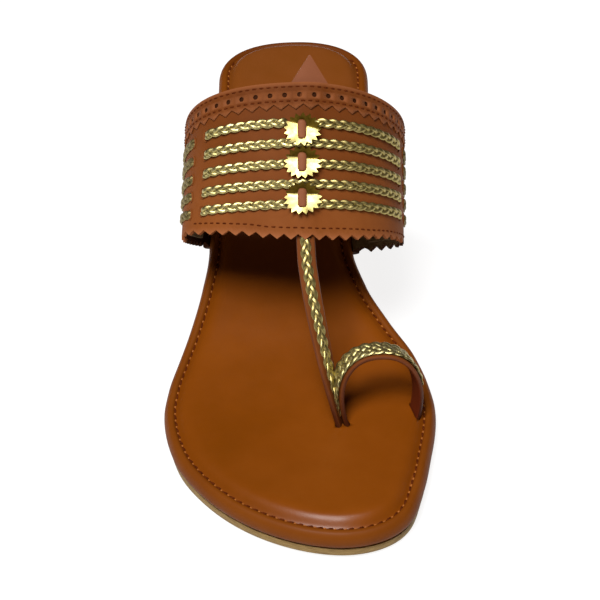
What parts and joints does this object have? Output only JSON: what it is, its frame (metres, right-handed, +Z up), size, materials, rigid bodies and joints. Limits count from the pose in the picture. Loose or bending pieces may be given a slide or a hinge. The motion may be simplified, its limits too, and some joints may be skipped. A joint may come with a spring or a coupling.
{
  "type": "heeled sandal",
  "caption": "Open-back toe-loop sandal with a covered block heel, padded footbed, a wide plait-trimmed instep band and a toe strap ending in a ring for the big toe.",
  "frame": {"origin": "centre of the bounding box in plan, on the floor", "axes": "+Z up, -Y towards the toe, +X towards the big-toe side of this right shoe"},
  "size_m": [0.0944, 0.242, 0.1107],
  "materials": {
    "tan_leather": "smooth, semi-gloss",
    "heel_leather": "smooth, semi-gloss",
    "sole_rubber": "matt",
    "gold_plait": "metallic gold foil",
    "gold_foil": "bright metallic gold foil"
  },
  "bodies": {
    "root": {"outsole": "sole_rubber", "footbed": "tan_leather", "heel_block": "heel_leather", "heel_tip": "sole_rubber", "upper": "tan_leather", "rear_trim": "tan_leather", "plait_front_lateral_1": "gold_plait", "plait_front_lateral_2": "gold_plait", "plait_front_lateral_3": "gold_plait", "plait_front_lateral_4": "gold_plait", "plait_front_lateral_5": "gold_plait", "plait_front_medial_1": "gold_plait", "plait_front_medial_2": "gold_plait", "plait_front_medial_3": "gold_plait", "plait_front_medial_4": "gold_plait", "plait_front_medial_5": "gold_plait", "plait_side_lateral_1": "gold_plait", "plait_side_lateral_2": "gold_plait", "plait_side_lateral_3": "gold_plait", "plait_side_lateral_4": "gold_plait", "plait_side_lateral_5": "gold_plait", "plait_side_medial_1": "gold_plait", "plait_side_medial_2": "gold_plait", "plait_side_medial_3": "gold_plait", "plait_side_medial_4": "gold_plait", "plait_side_medial_5": "gold_plait", "plait_toe_strap": "gold_plait", "plait_toe_loop": "gold_plait", "gold_disc_1": "gold_foil", "gold_disc_2": "gold_foil", "gold_disc_3": "gold_foil", "disc_keeper_1": "tan_leather", "disc_keeper_2": "tan_leather", "disc_keeper_3": "tan_leather"}
  },
  "joints": []
}
